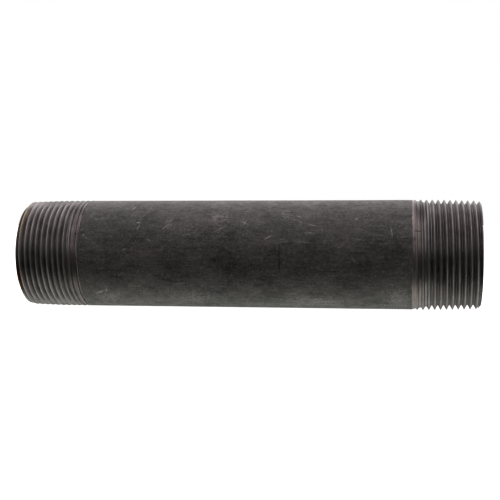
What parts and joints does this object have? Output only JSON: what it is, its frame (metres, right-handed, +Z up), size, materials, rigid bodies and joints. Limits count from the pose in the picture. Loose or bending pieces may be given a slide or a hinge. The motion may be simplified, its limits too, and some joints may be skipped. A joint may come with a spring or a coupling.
{
  "type": "threaded pipe nipple",
  "caption": "Short black steel pipe with a tapered right-hand outside thread at each end and a plain middle, used to join threaded pipe fittings.",
  "frame": {"origin": "middle of the bore's axis, halfway between the two end faces", "axes": "+X along the bore to the right-hand end, +Z up"},
  "size_m": [0.1778, 0.0422, 0.0422],
  "materials": {
    "mill_scale": "dark mottled mill scale under a thin lacquer, with fine light scratches",
    "cut_steel": "die-cut dark steel, pale along the crests and in the runout, nearly black in the grooves",
    "weld_metal": "dull scaled weld metal"
  },
  "bodies": {
    "root": {"barrel": "mill_scale", "left_thread": "cut_steel", "right_thread": "cut_steel", "weld_bead": "weld_metal"}
  },
  "joints": []
}
